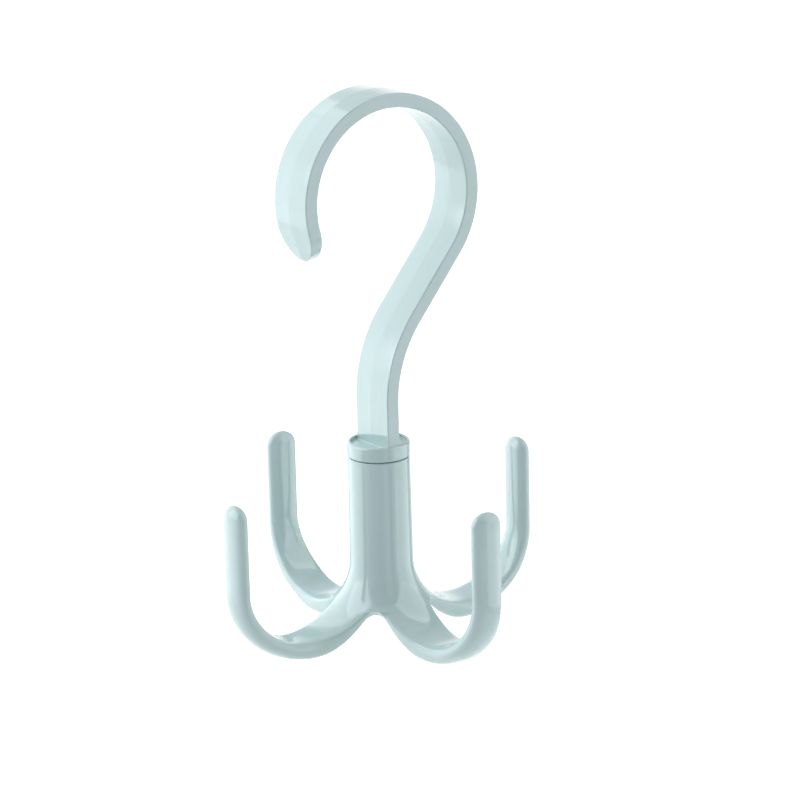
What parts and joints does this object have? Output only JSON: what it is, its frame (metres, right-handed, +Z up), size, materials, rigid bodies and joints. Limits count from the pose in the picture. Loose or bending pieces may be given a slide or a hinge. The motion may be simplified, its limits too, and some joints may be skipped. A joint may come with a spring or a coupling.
{
  "type": "rotating closet hook",
  "caption": "Strap hook for a closet rod, with upturned claws on a tubular body that turns under it to hold bags, belts, ties or scarves.",
  "frame": {"origin": "inside top of the rod loop, where the closet rod bears, in the middle of the strap's width, on the swivel axis", "axes": "+Z up along the swivel axis; the loop lies in the XZ plane and opens towards -X; at rest the claws point along X and Y"},
  "size_m": [0.1222, 0.1222, 0.1878],
  "materials": {
    "aqua_plastic": "glossy pastel aqua moulding",
    "screw_steel": "zinc-plated",
    "washer_nylon": "natural nylon"
  },
  "bodies": {
    "hook": {"swivel_hook": "aqua_plastic", "pivot_screw": "screw_steel", "thrust_washer": "washer_nylon"},
    "claws": {"claw_body": "aqua_plastic"}
  },
  "joints": [
    {"name": "swivel", "type": "hinge", "parent": "hook", "child": "claws", "pos_m": [0, 0, -0.119], "axis": [0, 0, 1], "continuous": true}
  ]
}
